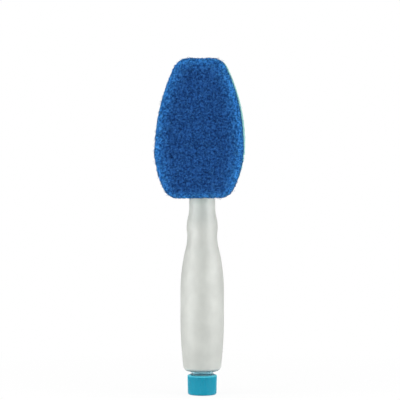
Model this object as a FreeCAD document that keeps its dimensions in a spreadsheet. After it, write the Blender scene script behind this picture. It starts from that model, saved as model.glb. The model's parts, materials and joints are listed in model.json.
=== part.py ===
import FreeCAD
import Part
import Sketcher
import math
import os

# A fillable dish wand: a soap bottle is the handle, a screw cap closes its lower end, and a
# carrier on its neck feeds soap through a valve into a scrubbing head that slides on.
# Millimetres and degrees. +Z runs up the handle, the origin is the centre of the cap's flat
# end, and the scrubbing face looks towards -Y. The head pieces are drawn upright in a head
# frame of their own, which stands on the handle's axis and leans back by the tilt.

# Driving sizes, one cell each in the sheet.
SIZES = {
    # Screw cap
    "cap_height": 14.1,
    "cap_wall": 1.45,
    "cap_end_wall": 1.7,
    "cap_taper": 0.3,
    "cap_edge_round": 1.5,
    "cap_rim_round": 0.7,
    "thread_room": 1.15,
    "groove_count": 56,
    "groove_radius": 0.42,
    "groove_depth": 0.3,
    "groove_foot": 0.8,
    # Sealing disc in the cap
    "liner_thick": 1.2,
    "liner_play": 0.05,
    "liner_side_gap": 0.25,
    # Handle bottle, from the filler neck up
    "wall": 1.3,
    "finish_dia": 15.8,
    "finish_wall": 1.6,
    "finish_length": 13.6,
    "bead_round": 0.45,
    "bead_gap": 0.1,
    "shoulder_wall": 1.6,
    "shoulder_round": 4.0,
    "heel_length": 37.4,
    "heel_draw": 2.45,
    "belly_length": 19.8,
    "swell_length": 39.0,
    "belly_swell": 4.84,
    "waist_blend": 34.0,
    "ring_rise": 6.4,
    "waist_dip": 0.46,
    "neck_blend_length": 13.8,
    "ring_swell": 1.82,
    "neck_dia": 18.6,
    "neck_length": 8.5,
    "neck_roof": 1.8,
    "spigot_length": 15.0,
    "spigot_wall": 2.65,
    # Ring seal on the spigot
    "seal_section": 1.2,
    "seal_gap": 0.03,
    "seal_groove_width": 1.6,
    "seal_depth": 5.0,
    # Head carrier
    "tilt": 6.0,
    "head_drop": 2.7,
    "collar_wall": 2.0,
    "socket_gap": 0.05,
    "socket_end_gap": 0.3,
    "collar_length": 18.0,
    "nose_length": 14.0,
    "nose_tip_dia": 7.0,
    "nose_round": 2.4,
    "chamber_dia": 7.2,
    "chamber_length": 11.5,
    "foot_stand": 0.5,
    "foot_width": 30.0,
    "foot_thick": 2.4,
    "foot_start": 4.0,
    "foot_tip": 1.7,
    "foot_round": 3.0,
    # Soap outlet in the carrier's foot
    "port_dia": 3.6,
    "valve_dia": 8.0,
    "valve_rim": 1.0,
    "valve_skin": 0.5,
    "valve_rim_width": 1.3,
    "valve_fit": 0.05,
    "retainer_thick": 1.0,
    "retainer_width": 1.1,
    "outlet_recess": 0.2,
    "gasket_land": 1.1,
    "gasket_width": 1.6,
    "gasket_depth": 0.8,
    "gasket_fit": 0.05,
    # Head base with its rails
    "base_thick": 2.0,
    "base_inset": 1.9,
    "base_port_dia": 4.8,
    "rim_width": 1.8,
    "rim_height": 1.8,
    "rail_play": 0.2,
    "rail_wall": 2.0,
    "rail_lip": 3.0,
    "rail_lip_thick": 1.8,
    "rail_lead": 1.0,
    "stop_wall": 2.2,
    "rib_thick": 1.6,
    "rib_height": 3.4,
    "rib_tip_height": 0.8,
    "rib_tip_gap": 13.4,
    "rib_offset": 9.0,
    # Outline of the head, which the sponge fills
    "head_width": 64.2,
    "head_length": 98.3,
    "head_widest": 35.4,
    "head_top_flat": 19.6,
    "head_top_round": 10.4,
    "head_bottom_flat": 31.0,
    "head_bottom_round": 9.4,
    # Sponge and scrub pad
    "sponge_thick": 7.0,
    "pad_thick": 8.0,
    "pad_inset": 0.4,
    "pad_crown": 1.6,
    "pad_edge_round": 4.0,
    # How far a cut runs past the face it starts from
    "overrun": 1.0,
}

# Sizes worked out from the driving ones, as formulas in the same sheet.
WORKED_OUT = {
    "cap_bore_r": "finish_outer_r + thread_room",
    "cap_rim_r": "cap_bore_r + cap_wall",
    "cap_end_r": "cap_rim_r - cap_taper",
    "groove_centre": "cap_rim_r + groove_radius - groove_depth",
    "groove_length": "cap_height - cap_edge_round - groove_foot",
    "liner_r": "cap_bore_r - liner_side_gap",
    "liner_level": "cap_end_wall + liner_play",
    # Radii of the bottle, outside and inside
    "finish_outer_r": "finish_dia / 2",
    "neck_outer_r": "neck_dia / 2",
    "ring_outer_r": "neck_outer_r + ring_swell",
    "waist_outer_r": "ring_outer_r - waist_dip",
    "belly_outer_r": "waist_outer_r + belly_swell",
    "shoulder_outer_r": "belly_outer_r - heel_draw",
    "spigot_outer_r": "socket_r - socket_gap",
    "finish_inner_r": "finish_outer_r - finish_wall",
    "neck_inner_r": "neck_outer_r - wall",
    "ring_inner_r": "ring_outer_r - wall",
    "waist_inner_r": "waist_outer_r - wall",
    "belly_inner_r": "belly_outer_r - wall",
    "shoulder_inner_r": "shoulder_outer_r - wall",
    "spigot_inner_r": "spigot_outer_r - spigot_wall",
    "waist_blend_outer": "waist_blend",
    "waist_blend_inner": "waist_blend + wall",
    "shoulder_round_inner": "shoulder_round - wall",
    # Heights of the bottle's stations
    "lip_outer_level": "liner_level + liner_thick + liner_play",
    "shoulder_outer_level": "lip_outer_level + finish_length",
    "belly_low_level": "shoulder_outer_level + heel_length",
    "belly_high_level": "belly_low_level + belly_length",
    "waist_level": "belly_high_level + swell_length",
    "ring_level": "waist_level + ring_rise",
    "neck_low_level": "ring_level + neck_blend_length",
    "neck_top_outer_level": "neck_low_level + neck_length",
    "spigot_top_outer_level": "neck_top_outer_level + spigot_length",
    "lip_inner_level": "lip_outer_level - overrun",
    "shoulder_inner_level": "shoulder_outer_level + shoulder_wall",
    "neck_top_inner_level": "neck_top_outer_level - neck_roof",
    "spigot_top_inner_level": "spigot_top_outer_level + overrun",
    "bead_level": "cap_height + bead_gap + bead_round",
    # Ring seal
    "seal_level": "spigot_top_outer_level - seal_depth",
    "seal_section_r": "seal_section / 2",
    "seal_ring_r": "socket_r - seal_gap - seal_section_r",
    "seal_groove_r": "seal_ring_r - seal_section_r - seal_gap",
    "seal_cut_r": "spigot_outer_r + overrun",
    "seal_groove_low": "seal_level - seal_groove_width / 2",
    "seal_groove_high": "seal_level + seal_groove_width / 2",
    # Head carrier, along the handle's axis from the head frame's origin
    "head_level": "neck_top_outer_level - head_drop",
    "socket_r": "neck_outer_r - collar_wall",
    "socket_start": "head_drop - overrun",
    "socket_end": "head_drop + spigot_length + socket_end_gap",
    "collar_end": "head_drop + collar_length",
    "nose_end": "collar_end + nose_length",
    "nose_tip_r": "nose_tip_dia / 2",
    "chamber_r": "chamber_dia / 2",
    "chamber_end": "socket_end + chamber_length",
    # Head carrier, in the head frame
    "foot_front": "neck_outer_r + foot_stand",
    "foot_half": "foot_width / 2",
    "foot_end": "nose_end + foot_tip",
    "trim_half": "neck_dia",
    "trim_end": "nose_end + neck_dia",
    "port_level": "(socket_end + chamber_end) / 2",
    "port_r": "port_dia / 2",
    "port_depth": "foot_front - port_level * tan(tilt)",
    "valve_r": "valve_dia / 2",
    "outlet_r": "valve_r + valve_fit",
    "outlet_depth": "valve_rim + retainer_thick + outlet_recess",
    "valve_bore_r": "valve_r - valve_rim_width",
    "valve_back": "foot_front - outlet_depth",
    "valve_skin_front": "valve_back + valve_skin",
    "valve_front": "valve_back + valve_rim",
    "retainer_front": "valve_front + retainer_thick",
    "retainer_bore_r": "valve_r - retainer_width",
    "gasket_inner_r": "outlet_r + gasket_land",
    "gasket_outer_r": "gasket_inner_r + gasket_width",
    "gasket_seat_inner_r": "gasket_inner_r - gasket_fit",
    "gasket_seat_outer_r": "gasket_outer_r + gasket_fit",
    "gasket_front": "base_back - gasket_fit",
    "gasket_thick": "gasket_depth + rail_play - gasket_fit",
    # Head base
    "base_back": "foot_front + rail_play",
    "base_front": "base_back + base_thick",
    "rim_back": "base_back - rim_height",
    "tray_depth": "base_thick + rim_height",
    "rim_inset": "base_inset + rim_width",
    "base_port_r": "base_port_dia / 2",
    "base_port_depth": "base_thick + overrun",
    "rail_inner": "foot_half + rail_play",
    "rail_outer": "rail_inner + rail_wall",
    "rail_lip_edge": "rail_inner - rail_lip",
    "rail_lip_front": "foot_front - foot_thick - rail_play",
    "rail_back": "rail_lip_front - rail_lip_thick",
    "rail_start": "foot_start + rail_lead",
    "stop_start": "foot_end + rail_play",
    "stop_end": "stop_start + stop_wall",
    "rail_length": "stop_start - rail_start",
    "rib_end": "head_length - rib_tip_gap",
    "rib_inner": "rib_offset - rib_thick / 2",
    "rib_back": "base_back - rib_height",
    "rib_tip_back": "base_back - rib_tip_height",
    # Sponge and scrub pad
    "sponge_front": "base_front + sponge_thick",
    "pad_front": "sponge_front + pad_thick",
    "pad_crown_r": "(pad_half ^ 2 + pad_crown ^ 2) / (2 * pad_crown)",
    "pad_side_front": "pad_front - pad_crown",
    "crown_cut_front": "pad_front + overrun",
    "top_flat_half": "head_top_flat / 2",
    "bottom_flat_half": "head_bottom_flat / 2",
}

# Layers of the head share one outline, each drawn in by its own inset.
OUTLINES = {"sponge": "0", "pad": "pad_inset", "base": "base_inset", "rim": "rim_inset"}
for layer, inset in OUTLINES.items():
    WORKED_OUT[f"{layer}_half"] = f"head_width / 2 - {inset}"
    WORKED_OUT[f"{layer}_low"] = inset
    WORKED_OUT[f"{layer}_high"] = f"head_length - {inset}"
    WORKED_OUT[f"{layer}_low_r"] = f"head_bottom_round - {inset}"
    WORKED_OUT[f"{layer}_high_r"] = f"head_top_round - {inset}"

# The bottle's wall from the filler lip to the spigot: radius, level, and how it goes on.
LINE, BOW, BLEND, EVEN_BLEND = "line", "bow", "blend", "even blend"
BOTTLE_STATIONS = (
    ("", "lip", LINE),
    ("finish", "lip", LINE),
    ("finish", "shoulder", LINE),
    ("shoulder", "shoulder", BOW),
    ("belly", "belly_low", LINE),
    ("belly", "belly_high", BLEND),
    ("waist", "waist", EVEN_BLEND),
    ("ring", "ring", EVEN_BLEND),
    ("neck", "neck_low", LINE),
    ("neck", "neck_top", LINE),
    ("spigot", "neck_top", LINE),
    ("spigot", "spigot_top", LINE),
    ("", "spigot_top", LINE),
)

# Codes of the points on a sketch edge and of a sketch's own axes
START, END, CENTRE = range(1, 4)
X_AXIS, Y_AXIS = range(-1, -3, -1)
ORIGIN = (X_AXIS, START)
QUARTER_TURN, HALF_TURN = math.pi / 2, math.pi

doc = FreeCAD.newDocument("dish_wand")
sheet = doc.addObject("Spreadsheet::Sheet", "sizes")


def fill_sheet():
    """Write every size and formula into the sheet, each under its own alias."""
    texts = {name: str(size) for name, size in SIZES.items()}
    texts.update({name: f"={formula}" for name, formula in WORKED_OUT.items()})
    for row, (name, text) in enumerate(texts.items(), start=1):
        sheet.set(f"A{row}", name)
        sheet.setAlias(f"B{row}", name)
        sheet.set(f"B{row}", text)
    doc.recompute()


def number(name):
    """The value of a cell, negative where the name has a minus, or zero for no name."""
    if name.startswith("-"):
        return -number(name[1:])
    return float(sheet.get(name)) if name else 0.0


def bind(thing, path, name):
    """Tie one property of a document object to a cell."""
    thing.setExpression(path, f"sizes.{name}")


def plane(body, role):
    """One of a body's own origin planes or axes."""
    return next(item for item in body.Origin.OriginFeatures if item.Role == role)


def add_body(name, in_head=False):
    """A body under its node's name, in the wand's frame or in the head's leaning frame."""
    body = doc.addObject("PartDesign::Body", name)
    body.Label = name
    if in_head:
        lean = FreeCAD.Rotation(FreeCAD.Vector(-1, 0, 0), number("tilt"))
        body.Placement = FreeCAD.Placement(FreeCAD.Vector(0, 0, number("head_level")), lean)
        bind(body, "Placement.Base.z", "head_level")
        bind(body, "Placement.Rotation.Angle", "tilt")
    return body


def add_sketch(body, name, role, offset="", turn=""):
    """A sketch on an origin plane, moved along its normal and turned about it."""
    sketch = body.newObject("Sketcher::SketchObject", f"{body.Name}_{name}")
    sketch.AttachmentSupport = [(plane(body, role), "")]
    sketch.MapMode = "FlatFace"
    spin = FreeCAD.Rotation(FreeCAD.Vector(0, 0, 1), number(turn))
    sketch.AttachmentOffset = FreeCAD.Placement(FreeCAD.Vector(0, 0, number(offset)), spin)
    if offset:
        bind(sketch, "AttachmentOffset.Base.z", offset)
    if turn:
        bind(sketch, "AttachmentOffset.Rotation.Angle", turn)
    return sketch


def hold(sketch, kind, places, name):
    """Add a dimension to a sketch and tie it to a cell."""
    index = sketch.addConstraint(Sketcher.Constraint(kind, *places, number(name)))
    bind(sketch, f"Constraints[{index}]", name)


def hold_along(sketch, kind, axis, place, name):
    """Keep a point at a cell's distance from an axis, on the far side where the name has a minus."""
    if not name:
        sketch.addConstraint(Sketcher.Constraint("PointOnObject", *place, axis))
    elif name.startswith("-"):
        hold(sketch, kind, (*place, *ORIGIN), name[1:])
    else:
        hold(sketch, kind, (*ORIGIN, *place), name)


def hold_point(sketch, place, across, up):
    """Fix both coordinates of a sketch point."""
    hold_along(sketch, "DistanceX", Y_AXIS, place, across)
    hold_along(sketch, "DistanceY", X_AXIS, place, up)


def relate(sketch, kind, *places):
    """Add a geometric relation, such as a tangency, to a sketch."""
    sketch.addConstraint(Sketcher.Constraint(kind, *places))


def point(across, up):
    """A sketch point from two cell names."""
    return FreeCAD.Vector(number(across), number(up), 0)


def add_line(sketch, start, end):
    """A straight edge."""
    return sketch.addGeometry(Part.LineSegment(start, end), False)


def add_arc(sketch, centre, radius, first, last):
    """A round edge, counter-clockwise between two angles in radians."""
    circle = Part.Circle(centre, FreeCAD.Vector(0, 0, 1), radius)
    return sketch.addGeometry(Part.ArcOfCircle(circle, first, last), False)


def add_circle(sketch, across, up, radius):
    """A full circle tied to three cells."""
    circle = Part.Circle(point(across, up), FreeCAD.Vector(0, 0, 1), number(radius))
    edge = sketch.addGeometry(circle, False)
    hold_point(sketch, (edge, CENTRE), across, up)
    hold(sketch, "Radius", (edge,), radius)


def polygon(sketch, *corners):
    """A closed outline of straight edges, with every corner tied to two cells."""
    spots = [point(*corner) for corner in corners]
    edges = [add_line(sketch, spot, after) for spot, after in zip(spots, spots[1:] + spots[:1])]
    for edge, after in zip(edges, edges[1:] + edges[:1]):
        relate(sketch, "Coincident", edge, END, after, START)
    for edge, corner in zip(edges, corners):
        hold_point(sketch, (edge, START), *corner)


def cut_took(feature):
    """Stop the build where a cut removed nothing."""
    doc.recompute()
    if feature.Shape.Volume >= feature.BaseFeature.Shape.Volume:
        raise RuntimeError(f"{feature.Label} cut nothing")
    return feature


def revolve(body, sketch, kind="Revolution"):
    """Turn a sketch once round its upright axis, as material or as a cut."""
    feature = body.newObject(f"PartDesign::{kind}", f"{sketch.Name}_turned")
    feature.Profile = sketch
    feature.ReferenceAxis = (sketch, ["V_Axis"])
    feature.Angle = 360
    if kind == "Groove":
        return cut_took(feature)
    doc.recompute()
    return feature


def pad(body, sketch, length, reverse=False):
    """Extrude a sketch as material along its normal, or against it."""
    feature = body.newObject("PartDesign::Pad", f"{sketch.Name}_pad")
    feature.Profile = sketch
    feature.Reversed = reverse
    bind(feature, "Length", length)
    doc.recompute()
    return feature


def pocket(body, sketch, depth, reverse=False):
    """Extrude a sketch as a cut against its normal, or along it."""
    feature = body.newObject("PartDesign::Pocket", f"{sketch.Name}_pocket")
    feature.Profile = sketch
    feature.Reversed = reverse
    bind(feature, "Length", depth)
    return cut_took(feature)


def mirror(body, *features):
    """Repeat features on the other side of the wand's middle plane."""
    copy = body.newObject("PartDesign::Mirrored", f"{features[0].Name}_mirrored")
    copy.Originals = list(features)
    copy.MirrorPlane = (plane(body, "YZ_Plane"), [""])
    body.Tip = copy
    doc.recompute()
    return copy


def soften(body, feature, radius, wanted):
    """Round the edges of a feature that a test picks out."""
    names = [f"Edge{i}" for i, edge in enumerate(feature.Shape.Edges, start=1) if wanted(edge)]
    fillet = body.newObject("PartDesign::Fillet", f"{feature.Name}_fillet")
    fillet.Base = (feature, names)
    bind(fillet, "Radius", radius)
    doc.recompute()
    return fillet


def near(one, other):
    """Whether two lengths agree within half of the smallest play."""
    return abs(one - other) < number("liner_play") / 2


def circle_at(radius, level=""):
    """A test for a circular edge of a radius, at a level if one is given."""
    def wanted(edge):
        is_circle = isinstance(edge.Curve, Part.Circle) and near(edge.Curve.Radius, number(radius))
        return is_circle and (not level or near(edge.Curve.Center.z, number(level)))
    return wanted


def round_a_face(feature, radius):
    """A test for the edges round the cylindrical face of a radius."""
    faces = [face for face in feature.Shape.Faces
             if isinstance(face.Surface, Part.Cylinder) and near(face.Surface.Radius, number(radius))]

    def wanted(edge):
        return sum(edge.isSame(side) for face in faces for side in face.Edges) == 1
    return wanted


def foot_corner(edge):
    """A test for the edges through the foot's thickness at its four corners."""
    box = edge.BoundBox
    at_side = near(abs(box.Center.x), number("foot_half")) and near(box.XLength, 0)
    return at_side and near(box.ZLength, 0) and near(box.YLength, number("foot_thick"))


def add_bow(sketch, low, high, upright_at_top):
    """A convex arc between two stations that stands upright at one of them."""
    rise, run = high.y - low.y, abs(high.x - low.x)
    radius = (rise ** 2 + run ** 2) / (2 * run)
    sweep = math.asin(rise / radius)
    upright = high if upright_at_top else low
    first, last = (-sweep, 0) if upright_at_top else (0, sweep)
    arc = add_arc(sketch, upright - FreeCAD.Vector(radius, 0, 0), radius, first, last)
    relate(sketch, "Horizontal", arc, CENTRE, arc, END if upright_at_top else START)
    return (arc, START), (arc, END)


def add_blend(sketch, low, high, hollow_radius):
    """Two tangent arcs between stations where the wall is upright.

    The arc at the narrower station is hollow. With no cell for its radius, both are alike.
    """
    rise, run = high.y - low.y, abs(high.x - low.x)
    both = (rise ** 2 + run ** 2) / (2 * run)
    hollow = number(hollow_radius) if hollow_radius else both / 2
    full = both - hollow
    sweep = math.asin(rise / both)
    inward, outward = FreeCAD.Vector(-full, 0, 0), FreeCAD.Vector(hollow, 0, 0)
    if low.x > high.x:
        below = add_arc(sketch, low + inward, full, 0, sweep)
        above = add_arc(sketch, high + outward, hollow, HALF_TURN, HALF_TURN + sweep)
        foot, top, hollow_arc = (below, START), (above, START), above
        relate(sketch, "Tangent", below, END, above, END)
    else:
        below = add_arc(sketch, low + outward, hollow, HALF_TURN - sweep, HALF_TURN)
        above = add_arc(sketch, high + inward, full, -sweep, 0)
        foot, top, hollow_arc = (below, END), (above, END), below
        relate(sketch, "Tangent", below, START, above, START)
    for arc, spot in ((below, foot), (above, top)):
        relate(sketch, "Horizontal", arc, CENTRE, *spot)
    if hollow_radius:
        hold(sketch, "Radius", (hollow_arc,), hollow_radius)
    else:
        relate(sketch, "Equal", below, above)
    return foot, top


def level_name(name, side):
    """The cell of a station's level, which the inside may share with the outside."""
    own = f"{name}_{side}_level"
    return own if own in WORKED_OUT else f"{name}_level"


def bottle_profile(sketch, side):
    """The bottle's outer or inner half section, closed along the axis."""
    cells = [(f"{name}_{side}_r" if name else "", level_name(level, side))
             for name, level, _ in BOTTLE_STATIONS]
    spots = [point(*cell) for cell in cells]
    runs = []
    for (_, _, way), low, high in zip(BOTTLE_STATIONS, spots, spots[1:] + spots[:1]):
        if way == LINE:
            edge = add_line(sketch, low, high)
            runs.append(((edge, START), (edge, END)))
        elif way == BOW:
            runs.append(add_bow(sketch, low, high, upright_at_top=True))
        else:
            runs.append(add_blend(sketch, low, high, f"waist_blend_{side}" if way == BLEND else ""))
    for before, run, cell in zip(runs[-1:] + runs[:-1], runs, cells):
        relate(sketch, "Coincident", *before[1], *run[0])
        hold_point(sketch, run[0], *cell)


def flank(half_width, widest, corner, corner_r):
    """Centre, radius and end angle of the arc that leaves the widest point upright and runs
    into a corner arc."""
    shift, rise = corner.x - half_width, corner.y - widest
    radius = (corner_r ** 2 - shift ** 2 - rise ** 2) / (2 * (shift + corner_r))
    centre = FreeCAD.Vector(half_width - radius, widest, 0)
    return centre, radius, math.atan2(corner.y - centre.y, corner.x - centre.x)


def half_outline(sketch, layer):
    """Right half of the head's outline: flat ends, round corners and two bowed flanks."""
    half, widest = number(f"{layer}_half"), number("head_widest")
    low, high = number(f"{layer}_low"), number(f"{layer}_high")
    low_r, high_r = number(f"{layer}_low_r"), number(f"{layer}_high_r")
    low_corner = FreeCAD.Vector(number("bottom_flat_half"), low + low_r, 0)
    high_corner = FreeCAD.Vector(number("top_flat_half"), high - high_r, 0)
    low_centre, low_flank_r, low_angle = flank(half, widest, low_corner, low_r)
    high_centre, high_flank_r, high_angle = flank(half, widest, high_corner, high_r)
    bottom = add_line(sketch, point("", f"{layer}_low"), point("bottom_flat_half", f"{layer}_low"))
    run = [
        bottom,
        add_arc(sketch, low_corner, low_r, -QUARTER_TURN, low_angle),
        add_arc(sketch, low_centre, low_flank_r, low_angle, 0),
        add_arc(sketch, high_centre, high_flank_r, 0, high_angle),
        add_arc(sketch, high_corner, high_r, high_angle, QUARTER_TURN),
        add_line(sketch, point("top_flat_half", f"{layer}_high"), point("", f"{layer}_high")),
    ]
    middle = add_line(sketch, point("", f"{layer}_high"), point("", f"{layer}_low"))
    for edge, after in zip(run, run[1:]):
        relate(sketch, "Tangent", edge, END, after, START)
    relate(sketch, "Coincident", run[-1], END, middle, START)
    relate(sketch, "Coincident", middle, END, bottom, START)
    hold_point(sketch, (bottom, START), "", f"{layer}_low" if low else "")
    hold_along(sketch, "DistanceX", Y_AXIS, (bottom, END), "bottom_flat_half")
    hold_along(sketch, "DistanceX", Y_AXIS, (run[-1], START), "top_flat_half")
    hold_point(sketch, (run[-1], END), "", f"{layer}_high")
    relate(sketch, "Horizontal", bottom)
    relate(sketch, "Horizontal", run[-1])
    hold(sketch, "Radius", (run[1],), f"{layer}_low_r")
    hold(sketch, "Radius", (run[4],), f"{layer}_high_r")
    hold_point(sketch, (run[2], END), f"{layer}_half", "head_widest")
    relate(sketch, "Horizontal", run[2], CENTRE, run[2], END)


def build_screw_cap():
    """Cup-shaped cap with a drawn-in end, round edges and fine grip grooves."""
    body = add_body("screw_cap")
    section = add_sketch(body, "section", "XZ_Plane")
    polygon(section, ("", ""), ("cap_end_r", ""), ("cap_rim_r", "cap_height"),
            ("cap_bore_r", "cap_height"), ("cap_bore_r", "cap_end_wall"), ("", "cap_end_wall"))
    cup = revolve(body, section)
    end = soften(body, cup, "cap_edge_round", circle_at("cap_end_r", ""))
    soften(body, end, "cap_rim_round", circle_at("cap_rim_r", "cap_height"))
    grip = add_sketch(body, "grip", "XY_Plane", "cap_height")
    add_circle(grip, "groove_centre", "", "groove_radius")
    groove = pocket(body, grip, "groove_length")
    grooves = body.newObject("PartDesign::PolarPattern", "screw_cap_grooves")
    grooves.Originals = [groove]
    grooves.Axis = (plane(body, "Z_Axis"), [""])
    grooves.Angle = 360
    bind(grooves, "Occurrences", "groove_count")
    body.Tip = grooves
    return body


def build_cap_liner():
    """Sealing disc that lies in the cap and takes the bottle's lip."""
    liner = doc.addObject("Part::Cylinder", "cap_liner")
    liner.Label = "cap_liner"
    bind(liner, "Radius", "liner_r")
    bind(liner, "Height", "liner_thick")
    bind(liner, "Placement.Base.z", "liner_level")
    return liner


def build_handle_bottle():
    """Hollow handle: filler neck with a bead, belly, waist, grip ring, neck and spigot."""
    body = add_body("handle_bottle")
    outside = add_sketch(body, "outside", "XZ_Plane")
    bottle_profile(outside, "outer")
    form = revolve(body, outside)
    soften(body, form, "shoulder_round", circle_at("shoulder_outer_r", "shoulder_outer_level"))
    inside = add_sketch(body, "inside", "XZ_Plane")
    bottle_profile(inside, "inner")
    hollow = revolve(body, inside, "Groove")
    soften(body, hollow, "shoulder_round_inner",
           circle_at("shoulder_inner_r", "shoulder_inner_level"))
    bead = add_sketch(body, "bead", "XZ_Plane")
    add_circle(bead, "finish_outer_r", "bead_level", "bead_round")
    revolve(body, bead)
    gland = add_sketch(body, "gland", "XZ_Plane")
    polygon(gland, ("seal_groove_r", "seal_groove_low"), ("seal_cut_r", "seal_groove_low"),
            ("seal_cut_r", "seal_groove_high"), ("seal_groove_r", "seal_groove_high"))
    revolve(body, gland, "Groove")
    return body


def build_socket_seal():
    """Rubber ring that seals the spigot in the carrier's socket."""
    seal = doc.addObject("Part::Torus", "socket_seal")
    seal.Label = "socket_seal"
    bind(seal, "Radius1", "seal_ring_r")
    bind(seal, "Radius2", "seal_section_r")
    bind(seal, "Placement.Base.z", "seal_level")
    return seal


def carrier_profile(sketch):
    """Half section of the carrier's collar and nose, along the handle's axis."""
    corners = [("nose_tip_r", "nose_end"), ("", "nose_end"), ("", "head_drop"),
               ("neck_outer_r", "head_drop"), ("neck_outer_r", "collar_end")]
    spots = [point(*corner) for corner in corners]
    bow = add_bow(sketch, spots[-1], spots[0], upright_at_top=False)
    edges = [add_line(sketch, spot, after) for spot, after in zip(spots, spots[1:])]
    for edge, after in zip(edges, edges[1:]):
        relate(sketch, "Coincident", edge, END, after, START)
    relate(sketch, "Coincident", *bow[1], edges[0], START)
    relate(sketch, "Coincident", edges[-1], END, *bow[0])
    for edge, corner in zip(edges, corners):
        hold_point(sketch, (edge, START), *corner)
    hold_point(sketch, (edges[-1], END), *corners[-1])


def build_head_carrier():
    """Collar on the bottle's spigot with a soap chamber, an outlet and a flat slide-on foot."""
    body = add_body("head_carrier", in_head=True)
    section = add_sketch(body, "section", "YZ_Plane", turn="tilt")
    carrier_profile(section)
    turned = revolve(body, section)
    soften(body, turned, "nose_round", circle_at("nose_tip_r"))
    front = add_sketch(body, "front", "XZ_Plane", "foot_front")
    polygon(front, ("-trim_half", "-trim_half"), ("trim_half", "-trim_half"),
            ("trim_half", "trim_end"), ("-trim_half", "trim_end"))
    pocket(body, front, "trim_half", reverse=True)
    tongue = add_sketch(body, "tongue", "XZ_Plane", "foot_front")
    polygon(tongue, ("-foot_half", "foot_start"), ("foot_half", "foot_start"),
            ("foot_half", "foot_end"), ("-foot_half", "foot_end"))
    foot = pad(body, tongue, "foot_thick", reverse=True)
    soften(body, foot, "foot_round", foot_corner)
    socket = add_sketch(body, "socket", "YZ_Plane", turn="tilt")
    polygon(socket, ("", "socket_start"), ("socket_r", "socket_start"), ("socket_r", "socket_end"),
            ("chamber_r", "socket_end"), ("chamber_r", "chamber_end"), ("", "chamber_end"))
    revolve(body, socket, "Groove")
    cuts = (("port", "port_depth", ("port_r",)), ("outlet", "outlet_depth", ("outlet_r",)),
            ("gasket_seat", "gasket_depth", ("gasket_seat_outer_r", "gasket_seat_inner_r")))
    for name, depth, radii in cuts:
        rings = add_sketch(body, name, "XZ_Plane", "foot_front")
        for radius in radii:
            add_circle(rings, "", "port_level", radius)
        pocket(body, rings, depth)
    return body


def build_outlet_valve():
    """Soft disc with a stiff rim and a thin skin, which lets soap out when squeezed."""
    body = add_body("outlet_valve", in_head=True)
    section = add_sketch(body, "section", "XY_Plane", "port_level")
    polygon(section, ("", "-valve_back"), ("valve_r", "-valve_back"), ("valve_r", "-valve_front"),
            ("valve_bore_r", "-valve_front"), ("valve_bore_r", "-valve_skin_front"),
            ("", "-valve_skin_front"))
    revolve(body, section)
    return body


def build_ring(name, front, outer_r, inner_r, thick):
    """A flat ring round the soap port, from its front face back."""
    body = add_body(name, in_head=True)
    rings = add_sketch(body, "rings", "XZ_Plane", front)
    add_circle(rings, "", "port_level", outer_r)
    add_circle(rings, "", "port_level", inner_r)
    pad(body, rings, thick, reverse=True)
    return body


def build_head_base():
    """Tray-backed plate that carries the sponge, with rails for the foot, a stop and ribs."""
    body = add_body("head_base", in_head=True)
    plate = add_sketch(body, "plate", "XZ_Plane", "rim_back")
    half_outline(plate, "base")
    slab = pad(body, plate, "tray_depth")
    recess = add_sketch(body, "recess", "XZ_Plane", "rim_back")
    half_outline(recess, "rim")
    hollow = pocket(body, recess, "rim_height", reverse=True)
    mirror(body, slab, hollow)
    channel = add_sketch(body, "channel", "XZ_Plane", "rim_back")
    polygon(channel, ("-rail_outer", "-overrun"), ("rail_outer", "-overrun"),
            ("rail_outer", "rail_start"), ("-rail_outer", "rail_start"))
    pocket(body, channel, "rim_height", reverse=True)
    hook = add_sketch(body, "hook", "XY_Plane", "rail_start")
    polygon(hook, ("rail_outer", "-base_back"), ("rail_outer", "-rail_back"),
            ("rail_lip_edge", "-rail_back"), ("rail_lip_edge", "-rail_lip_front"),
            ("rail_inner", "-rail_lip_front"), ("rail_inner", "-base_back"))
    mirror(body, pad(body, hook, "rail_length"))
    stop = add_sketch(body, "stop", "XY_Plane", "stop_start")
    polygon(stop, ("-rail_outer", "-base_back"), ("rail_outer", "-base_back"),
            ("rail_outer", "-rail_back"), ("-rail_outer", "-rail_back"))
    pad(body, stop, "stop_wall")
    rib = add_sketch(body, "rib", "YZ_Plane", "rib_inner")
    polygon(rib, ("-base_back", "stop_end"), ("-rib_back", "stop_end"),
            ("-rib_tip_back", "rib_end"), ("-base_back", "rib_end"))
    mirror(body, pad(body, rib, "rib_thick"))
    port = add_sketch(body, "port", "XZ_Plane", "base_front")
    add_circle(port, "", "port_level", "base_port_r")
    pocket(body, port, "base_port_depth")
    return body


def build_layer(name, layer, back, thick):
    """A soft slab of the head, from its back face to its front."""
    body = add_body(name, in_head=True)
    outline = add_sketch(body, "outline", "XZ_Plane", back)
    half_outline(outline, layer)
    mirror(body, pad(body, outline, thick))
    return body


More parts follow.
